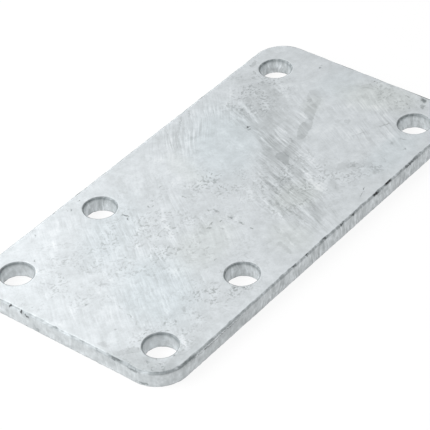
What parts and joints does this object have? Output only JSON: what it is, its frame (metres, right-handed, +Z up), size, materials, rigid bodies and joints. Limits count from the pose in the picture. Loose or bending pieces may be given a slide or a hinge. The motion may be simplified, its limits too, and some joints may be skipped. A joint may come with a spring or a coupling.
{
  "type": "rectangular cover plate",
  "caption": "Flat rectangular cover plate in galvanised steel, with rounded corners and rows of punched bolt holes for fastening it over a frame or opening.",
  "frame": {"origin": "centre of the underside, in the plane that lies against what the plate covers", "axes": "+X along the length, from the end with the two close rows of holes to the end with the single row; +Y across the plate; +Z up through its thickness, to the face that the holes were punched from"},
  "size_m": [0.18, 0.09, 0.0062],
  "materials": {
    "galvanised_steel": "hot-dip galvanised zinc, matt light grey, with bluish-grey blotches, dull streaks and darker sheared edges"
  },
  "bodies": {
    "root": {"cover_plate": "galvanised_steel"}
  },
  "joints": []
}
